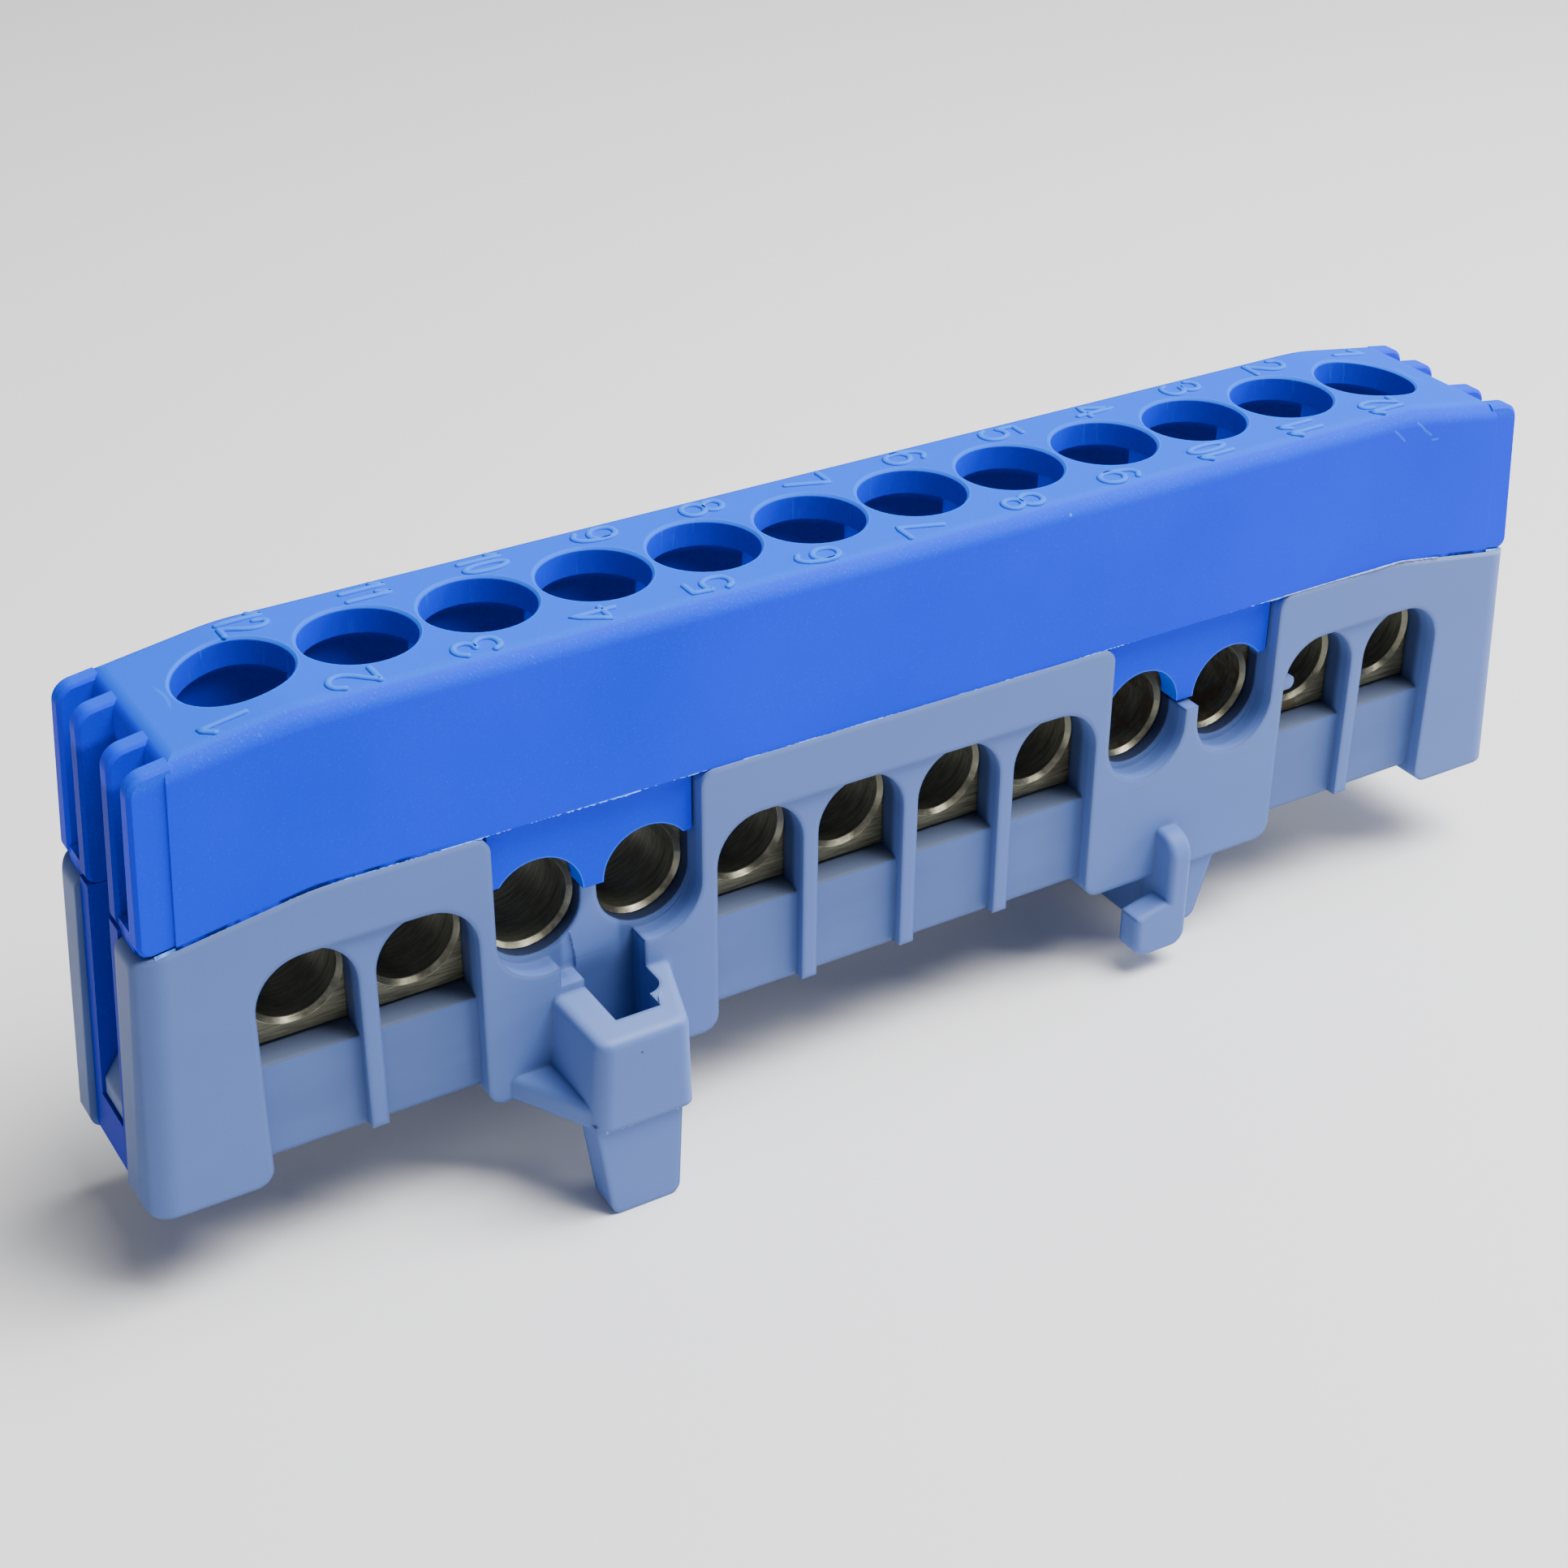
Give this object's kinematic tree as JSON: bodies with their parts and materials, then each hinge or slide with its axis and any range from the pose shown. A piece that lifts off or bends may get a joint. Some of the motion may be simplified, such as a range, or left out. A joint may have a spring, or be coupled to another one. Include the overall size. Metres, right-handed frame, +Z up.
{
  "type": "neutral terminal bar",
  "caption": "Row of screw terminals on one metal bar in a blue insulating housing, with numbered wire openings on both sides and clip feet for a 35 mm rail.",
  "frame": {"origin": "under the middle of the housing, at the height of the latch legs' tips", "axes": "+X along the bar towards way 12, -Y the side where way 1 lies at the left, +Z up"},
  "size_m": [0.0902, 0.0226, 0.0321],
  "materials": {
    "cover": "fine grained",
    "base": "satin",
    "bar": "dull nickel plate",
    "screw": "zinc plate"
  },
  "bodies": {
    "housing": {"base": "base", "cover": "cover", "terminal_bar": "bar"},
    "screw_01": {"clamp_screw_01": "screw"},
    "screw_02": {"clamp_screw_02": "screw"},
    "screw_03": {"clamp_screw_03": "screw"},
    "screw_04": {"clamp_screw_04": "screw"},
    "screw_05": {"clamp_screw_05": "screw"},
    "screw_06": {"clamp_screw_06": "screw"},
    "screw_07": {"clamp_screw_07": "screw"},
    "screw_08": {"clamp_screw_08": "screw"},
    "screw_09": {"clamp_screw_09": "screw"},
    "screw_10": {"clamp_screw_10": "screw"},
    "screw_11": {"clamp_screw_11": "screw"},
    "screw_12": {"clamp_screw_12": "screw"}
  },
  "joints": [
    {"name": "screw_01_travel", "type": "slide", "parent": "housing", "child": "screw_01", "axis": [0, 0, 1], "range_m": [-0.0042, 0]},
    {"name": "screw_02_travel", "type": "slide", "parent": "housing", "child": "screw_02", "axis": [0, 0, 1], "range_m": [-0.0042, 0]},
    {"name": "screw_03_travel", "type": "slide", "parent": "housing", "child": "screw_03", "axis": [0, 0, 1], "range_m": [-0.0042, 0]},
    {"name": "screw_04_travel", "type": "slide", "parent": "housing", "child": "screw_04", "axis": [0, 0, 1], "range_m": [-0.0042, 0]},
    {"name": "screw_05_travel", "type": "slide", "parent": "housing", "child": "screw_05", "axis": [0, 0, 1], "range_m": [-0.0042, 0]},
    {"name": "screw_06_travel", "type": "slide", "parent": "housing", "child": "screw_06", "axis": [0, 0, 1], "range_m": [-0.0042, 0]},
    {"name": "screw_07_travel", "type": "slide", "parent": "housing", "child": "screw_07", "axis": [0, 0, 1], "range_m": [-0.0042, 0]},
    {"name": "screw_08_travel", "type": "slide", "parent": "housing", "child": "screw_08", "axis": [0, 0, 1], "range_m": [-0.0042, 0]},
    {"name": "screw_09_travel", "type": "slide", "parent": "housing", "child": "screw_09", "axis": [0, 0, 1], "range_m": [-0.0042, 0]},
    {"name": "screw_10_travel", "type": "slide", "parent": "housing", "child": "screw_10", "axis": [0, 0, 1], "range_m": [-0.0042, 0]},
    {"name": "screw_11_travel", "type": "slide", "parent": "housing", "child": "screw_11", "axis": [0, 0, 1], "range_m": [-0.0042, 0]},
    {"name": "screw_12_travel", "type": "slide", "parent": "housing", "child": "screw_12", "axis": [0, 0, 1], "range_m": [-0.0042, 0]}
  ]
}
